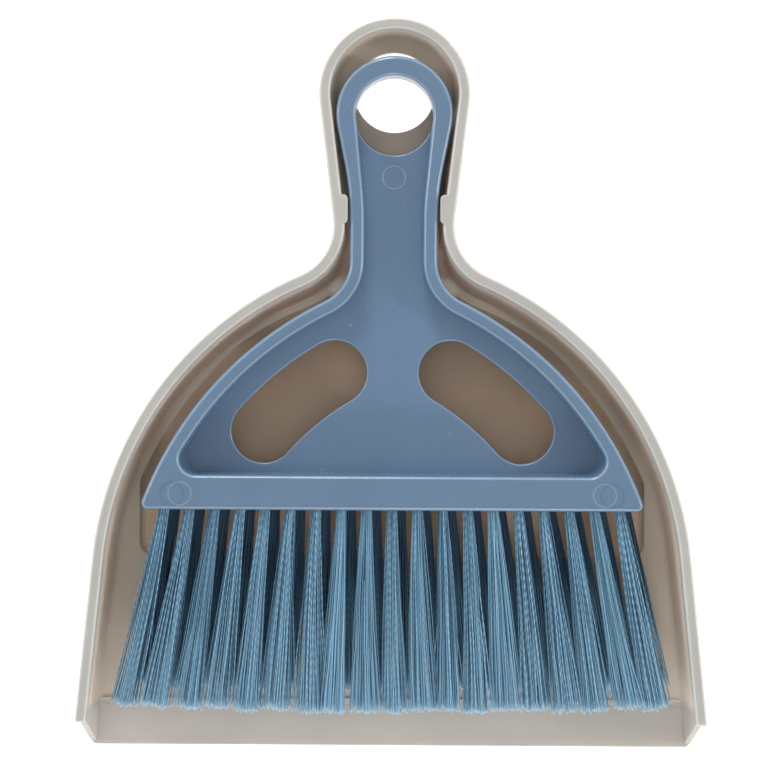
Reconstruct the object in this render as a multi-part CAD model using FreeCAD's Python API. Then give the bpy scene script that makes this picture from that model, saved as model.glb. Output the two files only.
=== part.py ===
import FreeCAD, Part

import math
import os

from FreeCAD import Vector

# A small dust pan with a hand brush that nests in it. Millimetres, +Z up.
# The pan lies flat with its mouth towards -Y and its handle towards +Y.
# The origin is at the middle of the set's footprint, on the floor.

# ---- dust pan: outline seen from above ----
pan_length = 232.0            # mouth edge to the top of the handle ring
pan_width = 198.0             # across the rim at the mouth
pan_height = 30.0             # floor to the top of the rim
pan_ring_radius = 23.7        # outside of the handle ring
trough_gap = 1.65             # beside the narrowest grip, at the rim
pan_neck_radius = 17.0        # hollow curve between handle and shoulder
pan_shoulder_radius = 108.2   # big round of the pan's back
pan_shoulder_y = -63.9        # centre of that round
pan_side_flare = 5.8          # degrees that the straight sides open to the mouth
rim_setback = 11.4            # the rim stops this far behind the mouth edge

# ---- dust pan: section ----
wall = 1.8                    # moulded wall
draft = 2.5                   # degrees that the side walls lean in to the floor
round_draft = 16.0            # the same for the shortening of the shoulder round
rim_width = 3.5               # flat rim, from its outer edge to the inside wall
rim_thickness = 2.0
shelf_height = 4.4            # inside floor behind the lip
inside_floor_round = 1.8      # between the side wall and the floor
outside_round = 1.4           # lower edge of the handle trough
rim_edge_round = 0.9
rim_inside_round = 1.2        # between the rim and the inside of the wall

# ---- dust pan: lip, well and handle trough ----
lip_depth = 15.7              # mouth edge to the ridge that keeps the dust in
lip_edge = 0.8                # thickness at the mouth edge
lip_foot = 3.6                # the lip lies flat on the floor this far back
wall_end_back = 1.0           # side wall's low end, behind the mouth edge
wall_end_step = 0.4           # the same, above the lip edge
lip_corner_round = 1.8
ridge_height = 0.6            # the ridge above the floor
well_gap = 4.6                # well edge outside the brush head's round
well_half_width = 81.5
well_front = 16.3             # well edge in front of the brush block
well_back_y = 30.0
well_corner_round = 5.0
well_margin = 1.2             # least shelf left beside the side wall
well_foot_round = 2.0
ramp_start_y = 31.0           # where the floor climbs to the handle trough
ramp_angle = 48.0
pan_hole_radius = 12.7
pan_hole_rise = 1.4           # hanging hole above the ring's own centre
clip_length = 9.0             # two nubs that hold the brush handle
clip_height = 3.5
clip_y = 56.0
clip_clearance = 0.3          # between a nub and the brush handle
clip_end_round = 1.4

# ---- brush body ----
brush_ring_radius = 18.5
brush_ring_drop = 6.5         # its ring below the pan's ring
brush_hole_radius = 12.2
brush_grip_half = 13.85       # half of the narrowest grip
brush_grip_y = 52.4           # where the grip is narrowest
brush_grip_share = 0.83       # share of the longest hollow curve that meets the ring
brush_neck_radius = 14.0
brush_shoulder_radius = 115.6
brush_shoulder_x = -29.6      # centre of the right shoulder's round
brush_shoulder_y = -76.3
block_face_y = -38.4          # face that the tufts come out of
block_width_y = 10.8          # depth of the tuft block
block_corner_round = 2.0
handle_thickness = 10.5
block_thickness = 16.5
belly_start_y = 14.0          # the underside thickens from here to the block
belly_soften = 0.42           # share of the slope that each of its bends takes
brush_rim = 4.5               # raised border round the pocket
brush_draft = 3.0             # degrees
web = 2.4                     # floor of the pocket
pocket_corner_round = 5.0
brush_outer_round = 1.6       # upper edge all round
brush_under_round = 2.0
brush_inner_round = 1.4
brush_sunk = 0.8              # top of the brush below the pan's rim
seat_gap = 0.3                # under the handle, above the trough
slot_width = 20.4             # two curved slots in the head
slot_inset = 21.3             # slot centre line inside the shoulder's round
slot_start_angle = 41.5
slot_end_angle = 59.4
slot_edge_round = 0.6
mark_radius = 3.6             # round marks left by the mould's ejector pins
mark_line = 0.25
mark_height = 0.12
mark_handle_y = 66.7
mark_corner_x = 69.0
mark_corner_y = -33.3

# ---- tufts ----
tufts_per_row = 19
tuft_pitch = 7.96
row_depth = (4.5, 12.5)       # upper and lower row, below the brush's top
row_shift = (0.0, 2.7)        # the lower row stands to one side
row_length = (64.3, 59.0)     # free length of each row
row_droop = (1.0, 3.5)        # degrees that each row leans to the floor
row_tip_share = (0.553, 0.540)  # radius of a tuft's tip, as a share of the pitch
fan_angle = 10.5              # degrees outwards at the end of the upper row
hole_radius = 1.7
hole_depth = 8.0
tuft_clearance = 0.05         # round a tuft in its hole
anchor_width = 4.2            # flat wire that holds the folded tuft
anchor_thickness = 0.45
anchor_length = 1.8
anchor_from_bottom = 1.0
tuft_from_bottom = 0.4

# ---- sizes that follow ----
mouth_y = -pan_length / 2
pan_ring_y = pan_length / 2 - pan_ring_radius
rim_end_y = mouth_y + rim_setback
ridge_y = mouth_y + lip_depth
brush_top = pan_height - brush_sunk
brush_ring_y = pan_ring_y - brush_ring_drop
trough_floor = brush_top - handle_thickness - seat_gap
shelf_under = shelf_height - wall
trough_under = trough_floor - wall
bar_y = block_face_y + block_width_y
well_front_y = block_face_y - well_front
far = pan_length
near = 1e-4                   # two heights this close are the same
past = 1.0                    # how far a cutting shape reaches beyond what it cuts
before_mouth = mouth_y - 5 * past
side_slope = math.tan(math.radians(draft))
round_slope = math.tan(math.radians(round_draft))
grip_drop = brush_ring_y - brush_grip_y
grip_step = brush_ring_radius - brush_grip_half
brush_grip_curve = brush_grip_share * (
    (brush_grip_half ** 2 + grip_drop ** 2 - brush_ring_radius ** 2) / (2 * grip_step))


def unit(angle):
    """Unit vector at an angle in degrees from +X, in the XY plane."""
    return Vector(math.cos(math.radians(angle)), math.sin(math.radians(angle)), 0)


def mirrored(p):
    return Vector(-p.x, p.y, p.z)


def arc(centre, a, b, bulge):
    """Arc from a to b about a centre, on the side of the direction bulge."""
    middle = centre + bulge.normalize() * (a - centre).Length
    return Part.Arc(a, middle, b).toShape()


def line(a, b):
    return Part.LineSegment(a, b).toShape()


def neck_centre(start, along, out, radius, round_centre, round_radius):
    """Centre of a hollow curve that leaves the line (start, along) and meets a round."""
    base = start + out * radius - round_centre
    b = base.dot(along)
    c = base.dot(base) - (round_radius + radius) ** 2
    return start + out * radius + along * (-b - math.sqrt(b * b - c))


def joined(right, top):
    """Closed wire from the edges of the right side, mirrored, and the top and front."""
    left = []
    for edge in reversed(right):
        left.append(edge.mirror(Vector(), Vector(1, 0, 0)))
    first = right[0].Vertexes[0].Point
    return Part.Wire(Part.__sortEdges__(right + [top] + left + [line(mirrored(first), first)]))


def pan_outline(inset, z):
    """Outline of the pan at a height: moved inwards, and leaning in below the rim."""
    depth = pan_height - z
    edge = inset + depth * side_slope
    side = unit(pan_side_flare)
    ring = Vector(0, pan_ring_y, 0)
    # Each side of the handle leaves the ring and passes beside the narrowest grip.
    beside = Vector(brush_grip_half + trough_gap + rim_width, brush_grip_y, 0) - ring
    lean = math.acos(pan_ring_radius / beside.Length)
    grip = unit(math.degrees(math.atan2(beside.y, beside.x) + lean))
    down = Vector(grip.y, -grip.x, 0)
    # The shoulder's round touches the straight side at every height.
    corner = Vector(pan_width / 2, rim_end_y, 0)
    reach = side.dot(corner) - pan_shoulder_radius - pan_shoulder_y * side.y
    radius = pan_shoulder_radius - inset - depth * round_slope
    shoulder = Vector(reach / side.x, pan_shoulder_y, 0)
    shoulder += side * (pan_shoulder_radius - edge - radius)
    neck = neck_centre(ring + grip * (pan_ring_radius - edge), down, grip,
                       pan_neck_radius + edge, shoulder, radius)
    to_neck = (neck - shoulder).normalize()
    p1 = shoulder + side * radius
    p0 = p1 + Vector(side.y, -side.x, 0) * ((p1.y - mouth_y) / side.x)
    p2 = shoulder + to_neck * radius
    p3 = neck - grip * (pan_neck_radius + edge)
    p4 = ring + grip * (pan_ring_radius - edge)
    right = [line(p0, p1), arc(shoulder, p1, p2, side + to_neck),
             arc(neck, p2, p3, (to_neck + grip) * -1), line(p3, p4)]
    wire = joined(right, arc(ring, p4, mirrored(p4), Vector(0, 1, 0)))
    wire.translate(Vector(0, 0, z))
    return wire


def brush_outline(inset, ring_radius, front_y, z):
    """Outline of the brush body, moved inwards, closed at front_y, at a height."""
    ring = Vector(0, brush_ring_y, 0)
    shoulder = Vector(brush_shoulder_x, brush_shoulder_y, 0)
    bend = Vector(brush_grip_half + brush_grip_curve, brush_grip_y, 0)
    hollow = brush_grip_curve + inset
    # The straight between ring and grip touches both rounds.
    apart = bend - ring
    lean = math.acos((ring_radius + hollow) / apart.Length)
    grip = unit(math.degrees(math.atan2(apart.y, apart.x) + lean))
    p4 = ring + grip * ring_radius
    p3 = bend - grip * hollow
    p2 = bend - Vector(hollow, 0, 0)
    neck = neck_centre(Vector(brush_grip_half, bend.y, 0), Vector(0, -1, 0), Vector(1, 0, 0),
                       brush_neck_radius, shoulder, brush_shoulder_radius)
    to_neck = (neck - shoulder).normalize()
    radius = brush_shoulder_radius - inset
    q2 = Vector(p2.x, neck.y, 0)
    q1 = shoulder + to_neck * radius
    q0 = Vector(shoulder.x + math.sqrt(radius ** 2 - (front_y - shoulder.y) ** 2), front_y, 0)
    right = [arc(shoulder, q0, q1, (q0 - shoulder).normalize() + to_neck),
             arc(neck, q1, q2, to_neck * -1 + Vector(-1, 0, 0)),
             line(q2, p2), arc(bend, p2, p3, Vector(-1, 0, 0) - grip), line(p3, p4)]
    wire = joined(right, arc(ring, p4, mirrored(p4), Vector(0, 1, 0)))
    wire.translate(Vector(0, 0, z))
    return wire


def drafted(outline, low, high):
    """Solid between two outlines (inset, z), with leaning sides."""
    return Part.makeLoft([outline(*low), outline(*high)], True, True)


def side_point(y, z):
    return Vector(-far, y, z)


def across(wire):
    """Prism across X from a closed wire of a side view."""
    return Part.Face(wire).extrude(Vector(2 * far, 0, 0))


def side_prism(points):
    """Prism across X from points (y, z) of a side view."""
    corners = [side_point(y, z) for y, z in points]
    return across(Part.makePolygon(corners + corners[:1]))


def rounded(shape, radius, chosen):
    """Shape with a fillet on the edges that chosen accepts."""
    return shape.makeFillet(radius, [e for e in shape.Edges if chosen(e)])


def middle(edge):
    return edge.valueAt((edge.FirstParameter + edge.LastParameter) / 2)


def on_level(edge, z):
    return abs(edge.BoundBox.ZMin - z) < near and abs(edge.BoundBox.ZMax - z) < near


def export(name, shape):
    shape.exportStep(os.path.join("parts", name + ".step"))
    print(name, "valid", shape.isValid(), "solids", len(shape.Solids), round(shape.Volume, 1))


# ---------------------------------------------------------------- dust pan

def climb(start_y, low, high):
    """Side-view points of the floor that climbs from low to high into the trough."""
    return [(start_y, low), (start_y + (high - low) / math.tan(math.radians(ramp_angle)), high)]


def pan_cavity():
    """Everything inside the pan: the drafted space above floor, ramp and trough."""
    space = drafted(pan_outline, (rim_width, shelf_height), (rim_width, pan_height + past))
    below = side_prism(climb(ramp_start_y, shelf_height, trough_floor)
                       + [(far, trough_floor), (far, -past), (ramp_start_y, -past)])
    space = space.cut(below)
    return rounded(space, inside_floor_round, lambda e: touches_floor(e, mouth_y))


def touches_floor(edge, front_y):
    """Lower edges of the cavity, but for the one across the mouth."""
    low = edge.BoundBox
    across = low.YMax - low.YMin < near
    climbs = ramp_start_y - near < low.YMin and low.ZMax < trough_floor + near
    flat = on_level(edge, shelf_height) or on_level(edge, trough_floor)
    return (flat or climbs) and not (across and low.YMin < front_y + past)


def well_space(grow, low, high):
    """The brush-shaped well in the floor, grown by grow, between two heights."""
    radius = brush_shoulder_radius + well_gap + grow
    front = well_front_y - grow
    back = well_back_y + grow
    half = well_half_width + grow
    shape = Part.makeBox(2 * half, back - front, high - low, Vector(-half, front, low))
    for sign in (1, -1):
        centre = Vector(sign * brush_shoulder_x, brush_shoulder_y, low)
        shape = shape.common(Part.makeCylinder(radius, high - low, centre))
    shape = rounded(shape, well_corner_round + grow,
                    lambda e: e.BoundBox.ZLength > near and e.BoundBox.YMax < block_face_y)
    limit = Part.Face(pan_outline(rim_width + well_margin - grow, shelf_height))
    limit.translate(Vector(0, 0, low - shelf_height))
    return shape.common(limit.extrude(Vector(0, 0, high - low)))


def lip_top(y):
    """Height of the lip's upper face."""
    rise = shelf_height + ridge_height - lip_edge
    return lip_edge + rise * (y - mouth_y) / lip_depth


def pan_outside():
    """Outer form of the pan before it is hollowed."""
    skin = rim_width - wall
    form = drafted(pan_outline, (skin, 0), (skin, pan_height))
    under = [(before_mouth, -past), (before_mouth, 0), (mouth_y + lip_foot, 0),
             (ridge_y, shelf_under)]
    under += climb(ramp_start_y + wall * math.tan(math.radians(ramp_angle / 2)),
                   shelf_under, trough_under)
    under += [(far, trough_under), (far, -past)]
    form = form.cut(side_prism(under))
    form = rounded(form, lip_corner_round,
                   lambda e: e.BoundBox.ZLength > pan_height / 2
                   and e.BoundBox.YMax < mouth_y + past)
    form = rounded(form, outside_round,
                   lambda e: on_level(e, trough_under) and e.BoundBox.YLength > near)
    rim = Part.Face(pan_outline(0, pan_height)).extrude(Vector(0, 0, -rim_thickness))
    rim = rounded(rim, rim_edge_round, lambda e: e.BoundBox.ZLength < near)
    cup = well_space(wall, 0, shelf_under + wall / 2)
    return form.fuse([rim, cup])


def clip_nub(sign):
    """Nub on the trough wall that presses the brush handle."""
    face_x = grip_half_width(clip_y + clip_length / 2) + clip_clearance
    depth = pan_ring_radius - face_x
    nub = Part.makeBox(depth, clip_length, clip_height,
                       Vector(face_x, clip_y - clip_length / 2, pan_height - clip_height))
    nub = rounded(nub, clip_end_round,
                  lambda e: e.BoundBox.ZLength > near and e.BoundBox.XMax < face_x + near)
    stay = Part.Face(pan_outline(rim_width / 2, pan_height)).extrude(Vector(0, 0, -far))
    nub = nub.common(stay)
    return nub if sign > 0 else nub.mirror(Vector(), Vector(1, 0, 0))


def grip_half_width(y):
    """Half width of the brush handle at y, on its long hollow curve."""
    return brush_grip_half + brush_grip_curve - math.sqrt(
        brush_grip_curve ** 2 - (y - brush_grip_y) ** 2)


def inside_rim(edge):
    """Edges between the flat of the rim and the inside of the wall."""
    if not on_level(edge, pan_height):
        return False
    p = middle(edge)
    inner = Part.Face(pan_outline(rim_width / 2, pan_height))
    return inner.isInside(p, near, True) and p.y > mouth_y + past


def make_pan():
    pan = pan_outside().cut(pan_cavity())
    pan = rounded(pan, rim_inside_round, inside_rim)
    well = well_space(0, wall, shelf_height + past)
    pan = pan.cut(rounded(well, well_foot_round, lambda e: on_level(e, wall)))
    # The lip falls to the mouth edge; its ridge stands above the floor.
    inner = drafted(pan_outline, (rim_width, -past), (rim_width, lip_top(ridge_y) + past))
    over_lip = side_prism([(before_mouth, lip_top(before_mouth)), (ridge_y, lip_top(ridge_y)),
                           (ridge_y, far), (before_mouth, far)])
    pan = pan.cut(inner.common(over_lip))
    ridge = side_prism([(ridge_y, shelf_under + wall / 2), (ridge_y, lip_top(ridge_y)),
                        (ridge_y - wall, lip_top(ridge_y - wall)),
                        (ridge_y - wall, shelf_under + wall / 2)])
    pan = pan.fuse(ridge.common(inner))
    # The side walls slant down to the mouth.
    low_end = lip_edge + wall_end_step
    pan = pan.cut(side_prism([(rim_end_y, far), (rim_end_y, pan_height),
                              (mouth_y + wall_end_back, low_end), (before_mouth, low_end),
                              (before_mouth, far)]))
    hole = Part.makeCylinder(pan_hole_radius, far,
                             Vector(0, pan_ring_y + pan_hole_rise, -far / 2))
    pan = pan.cut(hole)
    for sign in (1, -1):
        pan = pan.fuse(clip_nub(sign))
    return pan.removeSplitter()


# ---------------------------------------------------------------- brush body

def below_underside(lift):
    """Everything below the brush's underside, raised by lift."""
    handle_z = brush_top - handle_thickness + lift
    block_z = brush_top - block_thickness + lift
    run = math.hypot(belly_start_y - bar_y, handle_z - block_z)
    half_bend = math.atan2(handle_z - block_z, belly_start_y - bar_y) / 2
    tangent = run * belly_soften
    radius = tangent / math.tan(half_bend)
    along = (tangent * math.cos(2 * half_bend), tangent * math.sin(2 * half_bend))
    to_middle = (radius * math.sin(half_bend), radius * (1 - math.cos(half_bend)))
    low = [side_point(bar_y - tangent, block_z),
           side_point(bar_y - tangent + to_middle[0], block_z + to_middle[1]),
           side_point(bar_y + along[0], block_z + along[1])]
    high = [side_point(belly_start_y - along[0], handle_z - along[1]),
            side_point(belly_start_y + tangent - to_middle[0], handle_z - to_middle[1]),
            side_point(belly_start_y + tangent, handle_z)]
    corners = [high[2], side_point(far, handle_z), side_point(far, -past),
               side_point(mouth_y, -past), side_point(mouth_y, block_z), low[0]]
    edges = [Part.Arc(*low).toShape(), line(low[2], high[0]), Part.Arc(*high).toShape()]
    for a, b in zip(corners, corners[1:]):
        edges.append(line(a, b))
    return across(Part.Wire(edges))


def brush_outside():
    """Outer form of the brush body before the pocket is cut."""
    lean = math.tan(math.radians(brush_draft))
    low_inset = block_thickness * lean
    low = brush_outline(low_inset, brush_ring_radius - low_inset, block_face_y,
                        brush_top - block_thickness)
    high = brush_outline(0, brush_ring_radius, block_face_y, brush_top)
    form = Part.makeLoft([low, high], True, True)
    form = rounded(form, block_corner_round,
                   lambda e: e.BoundBox.ZLength > handle_thickness
                   and e.BoundBox.YMax < block_face_y + near)
    form = form.cut(below_underside(0))
    form = rounded(form, brush_under_round, lambda e: outer_rim(e) and not on_level(e, brush_top))
    return rounded(form, brush_outer_round, lambda e: on_level(e, brush_top))


def outer_rim(edge):
    """Edges round the top and round the underside of the brush."""
    box = edge.BoundBox
    upright = box.ZLength > handle_thickness / 2 and box.YLength < brush_rim
    across = box.XMin < -near and box.XMax > near
    bends = across and box.YMin > block_face_y + near and box.YLength < near
    return not upright and not bends


def brush_pocket():
    """Space inside the raised border, down to the web."""
    lean = math.tan(math.radians(brush_draft))
    outlines = []
    for z in (brush_top - block_thickness, brush_top + past):
        grow = (brush_top - z) * lean
        outlines.append(brush_outline(brush_rim + grow, brush_hole_radius - grow,
                                      bar_y + grow, z))
    space = Part.makeLoft(outlines, True, True)
    space = rounded(space, pocket_corner_round,
                    lambda e: e.BoundBox.ZLength > handle_thickness
                    and e.BoundBox.YMax < bar_y + brush_rim)
    space = space.cut(below_underside(web))
    return space


def curved_slot(sign):
    """One of the two curved slots through the head."""
    centre = Vector(brush_shoulder_x, brush_shoulder_y, 0)
    path_radius = brush_shoulder_radius - slot_inset
    half = slot_width / 2
    start = centre + unit(slot_start_angle) * path_radius
    end = centre + unit(slot_end_angle) * path_radius
    outward = unit((slot_start_angle + slot_end_angle) / 2)
    a1 = centre + unit(slot_start_angle) * (path_radius + half)
    a2 = centre + unit(slot_end_angle) * (path_radius + half)
    b1 = centre + unit(slot_start_angle) * (path_radius - half)
    b2 = centre + unit(slot_end_angle) * (path_radius - half)
    edges = [arc(centre, a1, a2, Vector(outward)), arc(end, a2, b2, unit(slot_end_angle + 90)),
             arc(centre, b2, b1, Vector(outward)), arc(start, b1, a1, unit(slot_start_angle - 90))]
    slot = Part.Face(Part.Wire(edges)).extrude(Vector(0, 0, far))
    return slot if sign > 0 else slot.mirror(Vector(), Vector(1, 0, 0))


def slot_edge(edge):
    """Edges of the curved slots and of the hanging hole, but for those through the web."""
    p = middle(edge)
    round_hole = math.hypot(p.x, p.y - brush_ring_y) < brush_hole_radius + near
    from_centre = math.hypot(abs(p.x) - brush_shoulder_x, p.y - brush_shoulder_y)
    in_rim = from_centre > brush_shoulder_radius - 2 * brush_rim
    in_head = bar_y + brush_rim < p.y < belly_start_y + brush_neck_radius
    in_middle = abs(p.x) < brush_rim
    if round_hole:
        return edge.BoundBox.ZLength < near
    return in_head and not in_rim and not in_middle and edge.BoundBox.ZLength < web


def ejector_mark(x, y, z):
    """Fine raised ring left by an ejector pin."""
    at = Vector(x, y, z - mark_height)
    outer = Part.makeCylinder(mark_radius + mark_line / 2, 2 * mark_height, at)
    return outer.cut(Part.makeCylinder(mark_radius - mark_line / 2, 2 * mark_height, at))


def make_brush_body(holes):
    body = brush_outside().cut(brush_pocket())
    body = rounded(body, brush_inner_round, inner_rim)
    hole = Part.makeCylinder(brush_hole_radius, far, Vector(0, brush_ring_y, 0))
    body = body.cut([hole, curved_slot(1), curved_slot(-1)])
    body = rounded(body, slot_edge_round, slot_edge)
    marks = [ejector_mark(0, mark_handle_y, brush_top - handle_thickness + web)]
    for sign in (1, -1):
        marks.append(ejector_mark(sign * mark_corner_x, mark_corner_y, brush_top))
    return body.fuse(marks).cut(holes).removeSplitter()


def inner_rim(edge):
    """Edges where the raised border meets the pocket."""
    if not on_level(edge, brush_top):
        return False
    p = middle(edge)
    on_front = p.y < block_face_y + 2 * brush_outer_round
    outside = abs(p.x) > outline_half(p.y) - brush_rim / 2
    return not on_front and not outside


def outline_half(y):
    """Half width of the brush at y, at its top."""
    wire = brush_outline(0, brush_ring_radius, block_face_y, 0)
    ray = line(Vector(0, y, 0), Vector(pan_width, y, 0))
    gap, points, info = wire.distToShape(ray)
    return points[0][0].x if gap < 1e-3 else 0


# ---------------------------------------------------------------- tufts

def tuft_pose(row, i):
    """Root and direction of a tuft."""
    half_row = tuft_pitch * (tufts_per_row - 1) / 2
    x = i * tuft_pitch - half_row + row_shift[row]
    root = Vector(x, block_face_y, brush_top - row_depth[row])
    angle = math.radians(fan_angle * x / half_row)
    droop = math.radians(row_droop[row])
    way = Vector(math.sin(angle) * math.cos(droop), -math.cos(angle) * math.cos(droop),
                 -math.sin(droop))
    return root, way


def tuft_hole(root, way):
    return Part.makeCylinder(hole_radius, hole_depth + hole_radius, root - way * hole_depth, way)


def tuft_anchor(root, way):
    """Flat wire that lies across the hole and holds the folded tuft."""
    box = Part.makeBox(anchor_width, anchor_thickness, anchor_length,
                       Vector(-anchor_width / 2, -anchor_thickness / 2, 0))
    turn = FreeCAD.Rotation(Vector(1, 0, 0), Vector(0, 0, 1), way, "ZXY")
    box.Placement = FreeCAD.Placement(root - way * (hole_depth - anchor_from_bottom), turn)
    return box


def make_tuft(row, root, way, anchor):
    """Folded bundle of bristles: straight in its hole, spreading to the tip."""
    radius = hole_radius - tuft_clearance
    start = root - way * (hole_depth - tuft_from_bottom)
    stem = Part.makeCylinder(radius, hole_depth - tuft_from_bottom, start, way)
    tip_radius = row_tip_share[row] * tuft_pitch
    spread = Part.makeCone(radius, tip_radius, row_length[row], root, way)
    return stem.fuse(spread).cut(anchor).removeSplitter()


os.makedirs("parts", exist_ok=True)
export("dust_pan", make_pan())
holes = []
anchors = []
for row, row_name in enumerate(("upper", "lower")):
    for i in range(tufts_per_row):
        root, way = tuft_pose(row, i)
        anchor = tuft_anchor(root, way)
        holes.append(tuft_hole(root, way))
        anchors.append(anchor)
        export("tuft_%s_%02d" % (row_name, i + 1), make_tuft(row, root, way, anchor))
export("brush_body", make_brush_body(holes + anchors))
export("tuft_anchors", Part.makeCompound(anchors))
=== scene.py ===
# %% [markdown]
# # A dust pan with a hand brush nested in it
# The pan and the brush body are hard mouldings, so their shapes come ready from the
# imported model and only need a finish. The tufts come as plain cones that hold the
# place; here every tuft becomes a bundle of separate filaments.

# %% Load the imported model
import math

import bpy
import numpy as np
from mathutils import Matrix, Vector


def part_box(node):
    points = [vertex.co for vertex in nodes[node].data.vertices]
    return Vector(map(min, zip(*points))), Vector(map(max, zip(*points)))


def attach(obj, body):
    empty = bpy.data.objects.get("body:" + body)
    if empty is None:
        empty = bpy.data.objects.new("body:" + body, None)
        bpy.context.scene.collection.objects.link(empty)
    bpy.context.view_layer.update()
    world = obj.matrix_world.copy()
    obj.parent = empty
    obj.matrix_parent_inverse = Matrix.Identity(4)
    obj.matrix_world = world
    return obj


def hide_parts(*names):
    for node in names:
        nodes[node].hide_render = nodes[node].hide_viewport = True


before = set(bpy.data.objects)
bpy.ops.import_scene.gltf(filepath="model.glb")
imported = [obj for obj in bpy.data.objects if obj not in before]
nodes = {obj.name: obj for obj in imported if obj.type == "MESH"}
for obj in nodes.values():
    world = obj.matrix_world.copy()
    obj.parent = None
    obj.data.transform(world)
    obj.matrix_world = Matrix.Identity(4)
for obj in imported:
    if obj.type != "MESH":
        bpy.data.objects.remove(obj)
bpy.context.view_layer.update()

print("pieces from the packed model:", len(nodes))

# %% [markdown]
# ## Sizes the finishes need
# The finishes change at real features: the rim, the lip, the well, the tuft block. Their
# places are read from the boxes of the pan and the brush body.

# %% Read the main places
MM = 0.001
pan_low, pan_high = (Vector(c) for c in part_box("dust_pan"))
body_low, body_high = (Vector(c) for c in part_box("brush_body"))
rim_z = pan_high.z
mouth_y = pan_low.y
block_face_y = body_low.y
brush_top_z = body_high.z
middle_y = mouth_y + 95 * MM
print("rim height", round(rim_z / MM, 1), "mm, mouth at", round(mouth_y / MM, 1), "mm")

# %% [markdown]
# ## Small helpers for shader nodes
# A material is a graph. Writing `wire(a, b)` for each link keeps the recipes short
# enough to read as recipes.

# %% Helpers that add and wire nodes
def add(tree, kind, **settings):
    node = tree.nodes.new("ShaderNode" + kind)
    for name, value in settings.items():
        if name in node.inputs.keys():
            node.inputs[name].default_value = value
        else:
            setattr(node, name, value)
    return node


def math_node(tree, operation, a, b=None, clamp=False):
    node = tree.nodes.new("ShaderNodeMath")
    node.operation = operation
    node.use_clamp = clamp
    for socket, value in zip(node.inputs, (a, b)):
        if value is None:
            continue
        if isinstance(value, (int, float)):
            socket.default_value = value
        else:
            tree.links.new(value, socket)
    return node.outputs[0]


def ramp_between(tree, value, start, end, low=0.0, high=1.0):
    """A smooth step: low below start, high above end."""
    node = add(tree, "MapRange", interpolation_type="SMOOTHSTEP")
    node.inputs["From Min"].default_value = start
    node.inputs["From Max"].default_value = end
    node.inputs["To Min"].default_value = low
    node.inputs["To Max"].default_value = high
    tree.links.new(value, node.inputs["Value"])
    return node.outputs["Result"]


def mix_colour(tree, factor, a, b, blend="MIX"):
    node = tree.nodes.new("ShaderNodeMix")
    node.data_type = "RGBA"
    node.blend_type = blend
    for socket, value in zip((node.inputs[0], node.inputs[6], node.inputs[7]), (factor, a, b)):
        if isinstance(value, (int, float)):
            socket.default_value = value
        elif isinstance(value, tuple):
            socket.default_value = (*value, 1.0)
        else:
            tree.links.new(value, socket)
    return node.outputs[2]


def srgb(r, g, b):
    """A colour given from 0 to 255, as the linear colour a shader takes."""
    def linear(c):
        c = c / 255
        return c / 12.92 if c <= 0.04045 else ((c + 0.055) / 1.055) ** 2.4
    return (linear(r), linear(g), linear(b))


# %% [markdown]
# ## Effects that both plastics share
# Moulded polypropylene is never even: it is cloudy from the way it flowed, has a very
# fine skin texture, and picks up hair scratches and specks of dust. Each effect is a
# node group, so that both plastics use the same one with their own values.

# %% A helper that opens a node group
def new_group(name, inputs, outputs):
    group = bpy.data.node_groups.new(name, "ShaderNodeTree")
    for label, default in inputs:
        socket = group.interface.new_socket(label, in_out="INPUT", socket_type="NodeSocketFloat")
        socket.default_value = default
    for label in outputs:
        group.interface.new_socket(label, in_out="OUTPUT", socket_type="NodeSocketFloat")
    start = group.nodes.new("NodeGroupInput")
    end = group.nodes.new("NodeGroupOutput")
    coords = group.nodes.new("ShaderNodeTexCoord")
    return group, start, end, coords.outputs["Object"]


def use_group(tree, group, **values):
    node = tree.nodes.new("ShaderNodeGroup")
    node.node_tree = group
    for name, value in values.items():
        node.inputs[name].default_value = value
    return node


# %% Moulded skin: slow clouds and a fine grain
skin, start, end, place = new_group("moulded_skin",
                                    [("Cloud Scale", 30.0), ("Grain Scale", 2500.0)],
                                    ["Cloud", "Grain"])
cloud = add(skin, "TexNoise", Detail=4.0, Roughness=0.6)
grain = add(skin, "TexNoise", Detail=2.0, Roughness=0.5)
skin.links.new(place, cloud.inputs["Vector"])
skin.links.new(place, grain.inputs["Vector"])
skin.links.new(start.outputs["Cloud Scale"], cloud.inputs["Scale"])
skin.links.new(start.outputs["Grain Scale"], grain.inputs["Scale"])
skin.links.new(cloud.outputs["Fac"], end.inputs["Cloud"])
skin.links.new(grain.outputs["Fac"], end.inputs["Grain"])
print("group", skin.name)

# %% Hair scratches: noise drawn out along one direction and cut to thin lines
scratches, start, end, place = new_group("hair_scratches", [("Turn", 0.5), ("Amount", 0.5)],
                                         ["Scratch"])
turn = add(scratches, "VectorRotate", rotation_type="Z_AXIS")
stretch = add(scratches, "Mapping")
stretch.inputs["Scale"].default_value = (1400.0, 22.0, 22.0)
lines = add(scratches, "TexNoise", Detail=1.0, Scale=1.0)
scratches.links.new(place, turn.inputs["Vector"])
scratches.links.new(start.outputs["Turn"], turn.inputs["Angle"])
scratches.links.new(turn.outputs["Vector"], stretch.inputs["Vector"])
scratches.links.new(stretch.outputs["Vector"], lines.inputs["Vector"])
thin = ramp_between(scratches, lines.outputs["Fac"], 0.70, 0.78)
scratches.links.new(math_node(scratches, "MULTIPLY", thin, start.outputs["Amount"]),
                    end.inputs["Scratch"])
print("group", scratches.name)

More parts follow.
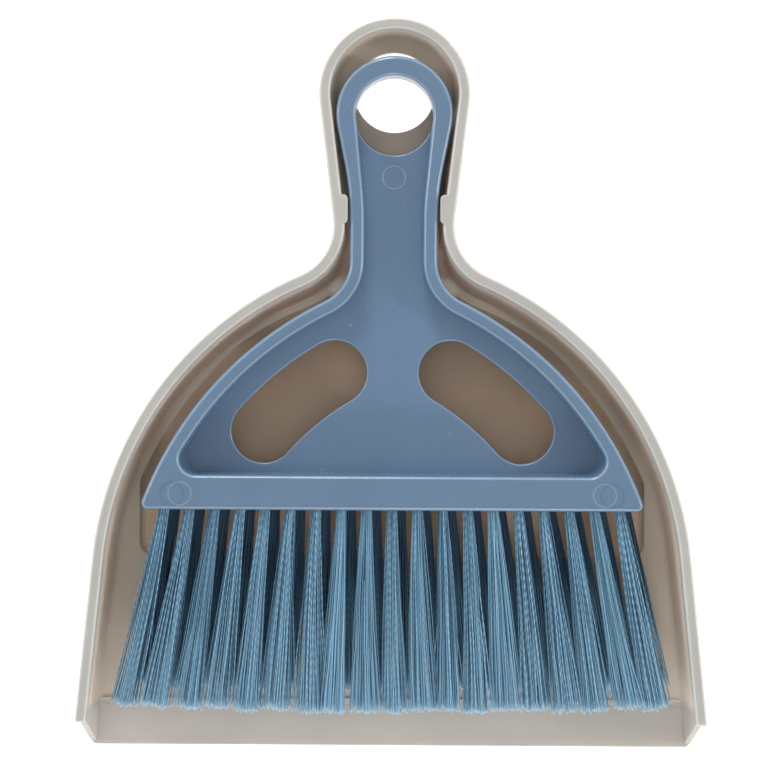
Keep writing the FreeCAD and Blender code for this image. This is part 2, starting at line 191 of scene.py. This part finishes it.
# %% Dust specks: a few cells of a Voronoi pattern, cut to small dots
specks, start, end, place = new_group("dust_specks", [("Scale", 220.0), ("Amount", 0.2)],
                                      ["Speck"])
cells = add(specks, "TexVoronoi")
specks.links.new(place, cells.inputs["Vector"])
specks.links.new(start.outputs["Scale"], cells.inputs["Scale"])
dot = ramp_between(specks, cells.outputs["Distance"], 0.07, 0.04)
chance = add(specks, "SeparateColor")
specks.links.new(cells.outputs["Color"], chance.inputs["Color"])
few = math_node(specks, "LESS_THAN", chance.outputs["Red"], start.outputs["Amount"])
specks.links.new(math_node(specks, "MULTIPLY", dot, few), end.inputs["Speck"])
print("group", specks.name)

# %% [markdown]
# The mould's ejector pins leave fine rings. The shape has them already, and this group
# finds them again by their distance from a pin's centre, so that they can be paler. The
# left and the right corner share one pair of centre values.

# %% Pin rings: fine pale rings where the mould's ejector pins stood
PIN_RADIUS = 3.6 * MM
PIN_LINE = (0.30 * MM, 0.12 * MM)
corner_pin = (body_high.x - 12.1 * MM, block_face_y + 5.1 * MM)
handle_pin = (0.0, body_high.y - 37.6 * MM)

pin_ring, start, end, place = new_group("pin_ring", [("Centre X", 0.0), ("Centre Y", 0.0)],
                                        ["Ring"])
spot = add(pin_ring, "SeparateXYZ")
pin_ring.links.new(place, spot.inputs["Vector"])
away_x = math_node(pin_ring, "SUBTRACT", math_node(pin_ring, "ABSOLUTE", spot.outputs["X"]),
                   start.outputs["Centre X"])
away_y = math_node(pin_ring, "SUBTRACT", spot.outputs["Y"], start.outputs["Centre Y"])
squares = math_node(pin_ring, "ADD", math_node(pin_ring, "MULTIPLY", away_x, away_x),
                    math_node(pin_ring, "MULTIPLY", away_y, away_y))
away = math_node(pin_ring, "SQRT", squares)
off_line = math_node(pin_ring, "ABSOLUTE", math_node(pin_ring, "SUBTRACT", away, PIN_RADIUS))
pin_ring.links.new(ramp_between(pin_ring, off_line, *PIN_LINE), end.inputs["Ring"])
print("group", pin_ring.name)

# %% [markdown]
# The rounds between a top and a side get a painted highlight: their colour is made paler,
# for the light that rounded edges catch. The mask reads how far a face looks upwards, from
# 0 on a side to 1 on a top.

# %% Painted edge highlight: a mask for rounds that face partly up
FROM_SIDE = (0.35, 0.65)
FROM_TOP = (0.97, 0.85)

edges, start, end, _ = new_group("painted_edge_highlight", [("Amount", 0.5)], ["Edge"])
facing = add(edges, "SeparateXYZ")
edges.links.new(edges.nodes.new("ShaderNodeTexCoord").outputs["Normal"], facing.inputs["Vector"])
upwards = facing.outputs["Z"]
on_round = math_node(edges, "MULTIPLY", ramp_between(edges, upwards, *FROM_SIDE),
                     ramp_between(edges, upwards, *FROM_TOP))
edges.links.new(math_node(edges, "MULTIPLY", on_round, start.outputs["Amount"]),
                end.inputs["Edge"])
print("group", edges.name)

# %% [markdown]
# The outside of the pan meets more light than the inside, and shows the plain colour of
# the plastic. A face is on the outside when it looks away from the middle of the pan, or
# downwards.

# %% Outside: a mask for walls that look away from the middle, and for undersides
STEEP = (0.6, 0.3)
LOOKS_AWAY = (2 * MM, 6 * MM)
LOOKS_DOWN = (-0.3, -0.6)

outside, start, end, place = new_group("outside", [("Middle Y", 0.0)], ["Outside"])
spot = add(outside, "SeparateXYZ")
outside.links.new(place, spot.inputs["Vector"])
facing = add(outside, "SeparateXYZ")
outside.links.new(outside.nodes.new("ShaderNodeTexCoord").outputs["Normal"],
                  facing.inputs["Vector"])
from_middle = math_node(outside, "SUBTRACT", spot.outputs["Y"], start.outputs["Middle Y"])
away = math_node(outside, "ADD",
                 math_node(outside, "MULTIPLY", facing.outputs["X"], spot.outputs["X"]),
                 math_node(outside, "MULTIPLY", facing.outputs["Y"], from_middle))
steep = ramp_between(outside, facing.outputs["Z"], *STEEP)
outer_wall = math_node(outside, "MULTIPLY", steep, ramp_between(outside, away, *LOOKS_AWAY))
underside = ramp_between(outside, facing.outputs["Z"], *LOOKS_DOWN)
outside.links.new(math_node(outside, "MAXIMUM", outer_wall, underside), end.inputs["Outside"])
print("group", outside.name)

# %% [markdown]
# Each material starts the same way: a Principled shader, and the three Object
# coordinates that the masks need.

# %% A helper that opens a material
def new_material(name):
    material = bpy.data.materials.new(name)
    material.use_nodes = True
    tree = material.node_tree
    tree.nodes.clear()
    out = tree.nodes.new("ShaderNodeOutputMaterial")
    shader = tree.nodes.new("ShaderNodeBsdfPrincipled")
    tree.links.new(shader.outputs["BSDF"], out.inputs["Surface"])
    where = add(tree, "SeparateXYZ")
    coords = tree.nodes.new("ShaderNodeTexCoord")
    tree.links.new(coords.outputs["Object"], where.inputs["Vector"])
    return material, tree, shader, where.outputs


HAIR_TURNS = (0.6, -1.1)
HAIR_PALENESS = 0.03
HAIR_ROUGHNESS = 0.06
HAIR_DEPTH = 0.2
SPECK_PALENESS = 0.5
CLOUD_RANGE = (0.3, 0.7)
RELIEF_HEIGHT = 0.08 * MM


def add_skin(tree, shader, colour, rough, rough_spread, cloud_depth, specks_amount, bump):
    """Finishes a plastic: clouds and specks in its colour, scratches in its gloss, a fine bump."""
    surface = use_group(tree, skin)
    hair, other_hair = (use_group(tree, scratches, Turn=turn, Amount=0.5) for turn in HAIR_TURNS)
    dust = use_group(tree, specks, Amount=specks_amount)
    clouds = ramp_between(tree, surface.outputs["Cloud"], *CLOUD_RANGE, 1 - cloud_depth,
                          1 + cloud_depth)
    grey = add(tree, "CombineColor")
    for channel in ("Red", "Green", "Blue"):
        tree.links.new(clouds, grey.inputs[channel])
    colour = mix_colour(tree, 1.0, colour, grey.outputs["Color"], "MULTIPLY")
    marks = math_node(tree, "MAXIMUM", hair.outputs["Scratch"], other_hair.outputs["Scratch"])
    colour = mix_colour(tree, math_node(tree, "MULTIPLY", marks, HAIR_PALENESS), colour,
                        (0.8, 0.8, 0.8))
    colour = mix_colour(tree, math_node(tree, "MULTIPLY", dust.outputs["Speck"], SPECK_PALENESS),
                        colour, (0.75, 0.76, 0.78))
    tree.links.new(colour, shader.inputs["Base Color"])
    gloss = ramp_between(tree, surface.outputs["Cloud"], *CLOUD_RANGE, rough - rough_spread,
                         rough + rough_spread)
    gloss = math_node(tree, "ADD", gloss, math_node(tree, "MULTIPLY", marks, HAIR_ROUGHNESS),
                      clamp=True)
    tree.links.new(gloss, shader.inputs["Roughness"])
    height = math_node(tree, "SUBTRACT", surface.outputs["Grain"],
                       math_node(tree, "MULTIPLY", marks, HAIR_DEPTH))
    relief = add(tree, "Bump", Strength=bump, Distance=RELIEF_HEIGHT)
    tree.links.new(height, relief.inputs["Height"])
    tree.links.new(relief.outputs["Normal"], shader.inputs["Normal"])


# %% [markdown]
# ## Finish of the pan
# Warm grey polypropylene that lets some light through. It is one plastic, and most of the
# changes of its base colour by place are painted light and shade: plain warm grey on the
# outside, a little paler on the rim and the lip, paler and warmer inside (painted light for
# the light that comes through the thin plastic), and darker in the handle trough and under
# the brush (painted shade). The rounds of the rim get a painted highlight. Masks from
# Object coordinates tell the shader where it is.

# %% Pan plastic
pan_plastic, tree, shader, (x, y, z) = new_material("pan_plastic")
rim_mask = ramp_between(tree, z, rim_z - 5.0 * MM, rim_z - 0.8 * MM)
wall_mask = ramp_between(tree, z, rim_z - 26 * MM, rim_z - 8 * MM)
well_mask = ramp_between(tree, z, rim_z - 25 * MM, rim_z - 28 * MM)
lip_mask = ramp_between(tree, y, mouth_y + 17 * MM, mouth_y + 14 * MM)
trough_mask = ramp_between(tree, y, pan_high.y - 72 * MM, pan_high.y - 52 * MM)
deep_mask = ramp_between(tree, z, rim_z - 10 * MM, rim_z - 12 * MM)
under_brush_shade = ramp_between(tree, y, block_face_y - 2 * MM, block_face_y + 6 * MM)
# Painted light: the inside floor, and the inner walls more so, are painted paler than the plain
# plastic, for the light that comes through the walls.
colour = mix_colour(tree, wall_mask, srgb(216, 206, 192), srgb(228, 217, 203))
# Painted light: the floor of the well is painted paler and warmer, for light that glows through
# it.
colour = mix_colour(tree, well_mask, colour, srgb(232, 216, 194))
# Painted shade: the well under the brush block is painted darker.
colour = mix_colour(tree, math_node(tree, "MULTIPLY", under_brush_shade, well_mask), colour,
                    srgb(192, 168, 145))
# Painted shade: the handle trough under the brush's ring is painted darker, less so towards the
# end wall.
ring_end = ramp_between(tree, y, pan_high.y - 28 * MM, pan_high.y - 14 * MM)
trough_shade = mix_colour(tree, ring_end, srgb(146, 132, 120), srgb(190, 177, 162))
colour = mix_colour(tree, math_node(tree, "MULTIPLY", trough_mask, deep_mask), colour,
                    trough_shade)
# Painted light: the lip is painted paler, for light that comes through the thin plastic.
colour = mix_colour(tree, lip_mask, colour, srgb(190, 184, 177))
shell = use_group(tree, outside, **{"Middle Y": middle_y})
colour = mix_colour(tree, shell.outputs["Outside"], colour, srgb(172, 164, 153))
# Painted light: the rim is painted a little paler and greyer than the outside, for light through
# the thin flange.
colour = mix_colour(tree, rim_mask, colour, srgb(176, 174, 169))
# Painted highlight: the rounds of the rim are painted near white.
rim_edge_highlight = use_group(tree, edges, Amount=0.4)
colour = mix_colour(tree, math_node(tree, "MULTIPLY", rim_edge_highlight.outputs["Edge"], rim_mask),
                    colour, srgb(226, 226, 222))
add_skin(tree, shader, colour, rough=0.36, rough_spread=0.05, cloud_depth=0.03,
         specks_amount=0.03, bump=0.25)
shader.inputs["IOR"].default_value = 1.49
shader.inputs["Subsurface Weight"].default_value = 0.8
shader.inputs["Subsurface Radius"].default_value = (1.0, 0.9, 0.8)
shader.inputs["Subsurface Scale"].default_value = 0.002
print("finish", pan_plastic.name)

# %% [markdown]
# ## Finish of the brush body
# The same kind of plastic in a dusty blue, more opaque, with paler pin rings. Its rounds are
# painted paler, a painted highlight, and its tops a touch darker, a painted shade.

# %% Brush plastic
brush_plastic, tree, shader, (x, y, z) = new_material("brush_plastic")
# Painted shade: the tops are painted a touch darker than the rest.
top_shade_mask = ramp_between(tree, z, brush_top_z - 1.6 * MM, brush_top_z - 0.3 * MM)
colour = mix_colour(tree, top_shade_mask, srgb(95, 120, 147), srgb(93, 117, 142))
for (pin_x, pin_y), paleness in ((corner_pin, 0.25), (handle_pin, 0.5)):
    ring = use_group(tree, pin_ring, **{"Centre X": pin_x, "Centre Y": pin_y})
    colour = mix_colour(tree, math_node(tree, "MULTIPLY", ring.outputs["Ring"], paleness), colour,
                        srgb(160, 180, 200))
# Painted highlight: the rounds are painted a paler blue.
rounds = use_group(tree, edges, Amount=0.38)
colour = mix_colour(tree, rounds.outputs["Edge"], colour, srgb(168, 191, 213))
add_skin(tree, shader, colour, rough=0.25, rough_spread=0.04, cloud_depth=0.03,
         specks_amount=0.10, bump=0.22)
shader.inputs["IOR"].default_value = 1.49
shader.inputs["Subsurface Weight"].default_value = 0.12
shader.inputs["Subsurface Radius"].default_value = (0.7, 0.85, 1.0)
shader.inputs["Subsurface Scale"].default_value = 0.001
print("finish", brush_plastic.name)

# %% [markdown]
# ## Finish of the filaments
# Each filament is a smooth blue thread. No two have quite the same shade. The light and
# shade of the crimp are painted as a darker ripple along it, more in some tufts than in
# others, and the cut end gets a painted pale glint. The bundle builder stores these facts on
# every filament, in an attribute, and the shader reads them. The lower row is darker near
# the block, where little light comes, and the colour is painted paler towards the tip:
# painted shade and painted light.

# %% Filament finish
CRIMP_WAVES = 150.0
CRIMP_SHIFT = 20.0

filament, tree, shader, where = new_material("bristle_filament")
strand = add(tree, "Attribute", attribute_name="strand")
parts = add(tree, "SeparateColor")
tree.links.new(strand.outputs["Color"], parts.inputs["Color"])
shade, along, phase = parts.outputs
colour = mix_colour(tree, shade, srgb(74, 115, 141), srgb(143, 192, 218))
# Painted shade: the light and shade of the crimp are painted as a darker ripple along the
# filament, as strong as the tuft's value in the attribute's alpha.
ripple = math_node(tree, "ADD", math_node(tree, "MULTIPLY", along, CRIMP_WAVES),
                   math_node(tree, "MULTIPLY", phase, CRIMP_SHIFT))
crimp = math_node(tree, "MULTIPLY",
                  ramp_between(tree, math_node(tree, "SINE", ripple), -1.0, 1.0),
                  strand.outputs["Alpha"])
colour = mix_colour(tree, crimp, colour, srgb(48, 78, 104))
# Painted highlight: the cut end of each filament is painted pale, a glint.
tip_glint = ramp_between(tree, along, 0.98, 1.0)
colour = mix_colour(tree, math_node(tree, "MULTIPLY", tip_glint, 0.9), colour,
                    srgb(214, 232, 241))
lower_row = ramp_between(tree, where["Z"], brush_top_z - 7.5 * MM, brush_top_z - 12 * MM)
near_block = ramp_between(tree, along, 0.75, 0.2)
colour = mix_colour(tree, math_node(tree, "MULTIPLY", lower_row, near_block), colour,
                    srgb(66, 98, 124))
# Painted light: the colour is painted paler towards the tip.
tip_light = ramp_between(tree, along, 0.35, 1.0, 0.0, 0.45)
colour = mix_colour(tree, tip_light, colour, srgb(142, 184, 208))
tree.links.new(colour, shader.inputs["Base Color"])
tree.links.new(ramp_between(tree, shade, 0.0, 1.0, 0.42, 0.28), shader.inputs["Roughness"])
shader.inputs["IOR"].default_value = 1.5
print("finish", filament.name)

# %% [markdown]
# ## Finish of the anchors
# Flat steel wire, drawn, so its scratches run along it.

# %% Anchor wire
anchor_wire, tree, shader, _ = new_material("anchor_wire")
drawn = use_group(tree, scratches, Turn=1.57, Amount=1.0)
colour = mix_colour(tree, drawn.outputs["Scratch"], srgb(176, 174, 168), srgb(140, 138, 132))
tree.links.new(colour, shader.inputs["Base Color"])
tree.links.new(ramp_between(tree, drawn.outputs["Scratch"], 0.0, 1.0, 0.3, 0.5),
               shader.inputs["Roughness"])
shader.inputs["Metallic"].default_value = 1.0
print("finish", anchor_wire.name)

# %% [markdown]
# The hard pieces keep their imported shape. Only their material changes.

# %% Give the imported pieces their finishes
for name, finish in (("dust_pan", pan_plastic), ("brush_body", brush_plastic),
                     ("tuft_anchors", anchor_wire)):
    piece = nodes[name]
    piece.data.materials.clear()
    piece.data.materials.append(finish)
print("finished the hard pieces")

# %% [markdown]
# ## One filament
# A filament is a thread a little over a third of a millimetre thick. It is modelled
# once, one unit long: a ring of corners, extruded step by step so that it can bend, and
# closed at the tip. Few corners are enough, because it is so thin.

# %% Model the filament
FILAMENT_SIDES = 4
FILAMENT_STEPS = 14

bpy.ops.object.select_all(action="DESELECT")
bpy.ops.mesh.primitive_circle_add(vertices=FILAMENT_SIDES, radius=1.0, fill_type="NOTHING")
filament_pattern = bpy.context.object
filament_pattern.name = "filament_pattern"
bpy.ops.object.mode_set(mode="EDIT")
bpy.ops.mesh.select_all(action="SELECT")
for step in range(FILAMENT_STEPS):
    bpy.ops.mesh.extrude_region_move(TRANSFORM_OT_translate={"value": (0, 0, 1 / FILAMENT_STEPS)})
bpy.ops.mesh.edge_face_add()
bpy.ops.mesh.select_all(action="SELECT")
bpy.ops.mesh.normals_make_consistent(inside=False)
bpy.ops.object.mode_set(mode="OBJECT")
pattern_points = np.array([v.co[:] for v in filament_pattern.data.vertices])
pattern_faces = [tuple(p.vertices) for p in filament_pattern.data.polygons]
bpy.data.objects.remove(filament_pattern)
print("filament:", len(pattern_points), "corners,", len(pattern_faces), "faces")

# %% [markdown]
# ## One tuft
# A tuft is a bundle of filaments folded into a hole of the block. They leave the hole
# packed tight and spread towards the tip. The place, the lean and the spread of every
# tuft are measured on its plain cone. Each filament turns on from the last by the golden
# angle, which spreads them evenly. A few are strays that stand out of the bundle.

# %% Measure a tuft on its cone
TIP_DEPTH = 1.6 * MM
ROOT_DEPTH = 0.6 * MM


def tuft_axis(name):
    """Root, tip, root radius and tip radius of a tuft's cone."""
    points = np.array([v.co[:] for v in nodes[name].data.vertices])
    tip_y = points[:, 1].min()
    tip_ring = points[points[:, 1] < tip_y + TIP_DEPTH]
    root_ring = points[np.abs(points[:, 1] - block_face_y) < ROOT_DEPTH]
    tip = tip_ring.mean(axis=0)
    root = root_ring.mean(axis=0)
    return root, tip, np.ptp(root_ring[:, 2]) / 2, np.ptp(tip_ring[:, 2]) / 2


print("first tuft:", [np.round(v / MM, 1) for v in tuft_axis("tuft_upper_01")])

# %% Lay out the filaments of a tuft
STRANDS = 84
STRAND_RADIUS = 0.185 * MM
STRAND_TURN = 2.39996
ROOT_INSET = 1.5 * MM
SWAY = 0.8 * MM
UPWARD_SHARE = 0.35
OPEN_OUT = (0.92, 1.12)
TUFT_SHORTER = 0.018
STRAY_CHANCE = 0.03
STRAY_REACH = (1.2, 1.5)
TIP_TURN_SPREAD = 0.25
TIP_REACH_SPREAD = 0.16
MOST_REACH = 1.15
MOST_UPWARD_REACH = 1.1
BOW = 0.25 * MM
STRAND_SHORTER = 0.014
WAVE_HEIGHT = 0.10 * MM
WAVE_TURNS = 14
BUNDLE_FILL = 0.9


def tuft_strands(rng, root, tip, root_radius, tip_radius):
    """Centre lines of a tuft's filaments, with their shades."""
    way = tip - root
    length = np.linalg.norm(way)
    way = way / length
    side = np.cross(way, (0.0, 0.0, 1.0))
    side = side / np.linalg.norm(side)
    up = np.cross(side, way)
    steps = np.linspace(0, 1, FILAMENT_STEPS + 1)
    sway = rng.normal(0, SWAY, 2) * (1.0, UPWARD_SHARE)
    open_out = rng.uniform(*OPEN_OUT)
    tuft_length = length * (1 - rng.uniform(0, TUFT_SHORTER))
    for i in range(STRANDS):
        stray = rng.random() < STRAY_CHANCE
        spin = i * STRAND_TURN
        reach = math.sqrt((i + 0.5) / STRANDS)
        tip_spin = spin + rng.normal(0, TIP_TURN_SPREAD)
        tip_reach = min(MOST_REACH, reach * open_out * (1 + rng.normal(0, TIP_REACH_SPREAD)))
        if stray:
            tip_spin = rng.uniform(0, 2 * math.pi)
            tip_reach = rng.uniform(*STRAY_REACH)
        bow = rng.normal(0, BOW, 2)
        wave = rng.uniform(0, 2 * math.pi)
        full = tuft_length * (1 - abs(rng.normal(0, STRAND_SHORTER)))
        upward_reach = min(tip_reach, MOST_UPWARD_REACH)
        # a is the way sideways from the tuft's axis, b the way up from it.
        a = root_radius * reach * math.cos(spin) * BUNDLE_FILL * (1 - steps)
        a = a + tip_radius * tip_reach * math.cos(tip_spin) * steps
        b = root_radius * reach * math.sin(spin) * BUNDLE_FILL * (1 - steps)
        b = b + tip_radius * BUNDLE_FILL * upward_reach * math.sin(tip_spin) * steps
        a = a + bow[0] * np.sin(math.pi * steps)
        a = a + WAVE_HEIGHT * steps * np.sin(wave + WAVE_TURNS * steps)
        a = a + sway[0] * steps ** 2
        b = b + bow[1] * np.sin(math.pi * steps) + sway[1] * steps ** 2
        run = steps * (full + ROOT_INSET) - ROOT_INSET
        line = root + np.outer(run, way) + np.outer(a, side) + np.outer(b, up)
        line[:, 2] = np.minimum(line[:, 2], brush_top_z)
        yield line, steps, 1.0 if stray else rng.random(), wave / (2 * math.pi)


# %% Build the bundle's mesh
# How strong the painted shade of the crimp is, one value per tuft.
CRIMP_RANGE = (0.15, 0.6)


def build_tuft(name, rng):
    """A tuft as one mesh: a copy of the filament along every centre line."""
    root, tip, root_radius, tip_radius = tuft_axis(name)
    points, faces, facts = [], [], []
    ring = np.rint(pattern_points[:, 2] * FILAMENT_STEPS).astype(int)
    crimp = rng.uniform(*CRIMP_RANGE)
    for line, steps, shade, phase in tuft_strands(rng, root, tip, root_radius, tip_radius):
        start = len(points) * len(pattern_points)
        flat = pattern_points[:, :2] * STRAND_RADIUS
        body = line[ring]
        body[:, 0] += flat[:, 0]
        body[:, 2] += flat[:, 1]
        points.append(body)
        faces.extend(tuple(start + k for k in face) for face in pattern_faces)
        same = np.ones(len(ring))
        facts.append(np.stack([shade * same, steps[ring], phase * same, crimp * same], axis=1))
    mesh = bpy.data.meshes.new(name + "_bristles")
    mesh.from_pydata(np.concatenate(points).tolist(), [], faces)
    layer = mesh.attributes.new("strand", "FLOAT_COLOR", "POINT")
    layer.data.foreach_set("color", np.concatenate(facts).ravel())
    mesh.materials.append(filament)
    mesh.polygons.foreach_set("use_smooth", [True] * len(mesh.polygons))
    tuft = bpy.data.objects.new(name + "_bristles", mesh)
    bpy.context.scene.collection.objects.link(tuft)
    return tuft


# %% Build every tuft
FIRST_SEED = 100

tuft_names = sorted(n for n in nodes if n.startswith("tuft_") and n != "tuft_anchors")
for k, name in enumerate(tuft_names):
    tuft = build_tuft(name, np.random.default_rng(FIRST_SEED + k))
    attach(tuft, "brush")
    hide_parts(name)
print("tufts built:", len(tuft_names))

# %% [markdown]
# ## Floor, light and camera
# The set lies on a plain pale table that glows a little, so that it stays nearly white
# beside the set. A window light stands low beyond the handle end, and three weaker ones
# stand round the set. The surround is paler near the horizon than overhead, so the flat
# tops stay deep in colour and the rounded edges catch the light. The camera looks
# straight down.

# %% Floor
bpy.ops.object.select_all(action="DESELECT")
bpy.ops.mesh.primitive_plane_add(size=6.0, location=(0, 0, -0.2 * MM))
floor = bpy.context.object
floor.name = "floor"
paper, _, shader, _ = new_material("pale_floor")
shader.inputs["Base Color"].default_value = (0.95, 0.95, 0.95, 1.0)
shader.inputs["Roughness"].default_value = 0.8
shader.inputs["Emission Color"].default_value = (1.0, 1.0, 1.0, 1.0)
shader.inputs["Emission Strength"].default_value = 0.35
floor.data.materials.append(paper)

# %% Light
HORIZON_STRENGTH = 1.05
ZENITH_STRENGTH = 0.72


def area_light(name, place, size, power):
    """A square light that looks at the origin."""
    lamp = bpy.data.lights.new(name, "AREA")
    lamp.shape = "SQUARE"
    lamp.size = size
    lamp.energy = power
    stand = bpy.data.objects.new(name, lamp)
    stand.location = place
    stand.rotation_euler = (Vector((0, 0, 0)) - Vector(place)).to_track_quat("-Z", "Y").to_euler()
    bpy.context.scene.collection.objects.link(stand)


area_light("window_light", (-0.15, 1.15, 0.55), 0.3, 7.5)
area_light("left_fill", (-1.2, 0.3, 0.6), 0.2, 3.0)
area_light("right_fill", (1.2, 0.0, 0.65), 0.2, 4.0)
area_light("mouth_fill", (0.1, -1.2, 0.6), 0.2, 3.0)
world = bpy.data.worlds.new("studio")
world.use_nodes = True
sky = world.node_tree
sky.nodes["Background"].inputs["Color"].default_value = (1, 1, 1, 1)
height = add(sky, "SeparateXYZ")
direction = sky.nodes.new("ShaderNodeTexCoord").outputs["Generated"]
sky.links.new(direction, height.inputs["Vector"])
strength = ramp_between(sky, height.outputs["Z"], 0.0, 1.0, HORIZON_STRENGTH, ZENITH_STRENGTH)
sky.links.new(strength, sky.nodes["Background"].inputs["Strength"])
bpy.context.scene.world = world
bpy.context.scene.view_settings.view_transform = "Standard"

# %% Camera
VIEW_WIDTH = 0.240
VIEW_RISE = 0.75
VIEW_ROLL = 0.35
SENSOR_WIDTH = 36.0
VIEW_CENTRE = (-2.8 * MM, 1.3 * MM)

camera_data = bpy.data.cameras.new("camera")
camera_data.sensor_width = SENSOR_WIDTH
camera_data.lens = SENSOR_WIDTH * VIEW_RISE / VIEW_WIDTH
camera = bpy.data.objects.new("camera", camera_data)
camera.location = (*VIEW_CENTRE, rim_z + VIEW_RISE)
camera.rotation_euler = (0, 0, math.radians(VIEW_ROLL))
bpy.context.scene.collection.objects.link(camera)
bpy.context.scene.camera = camera
print("lens", round(camera_data.lens, 1))
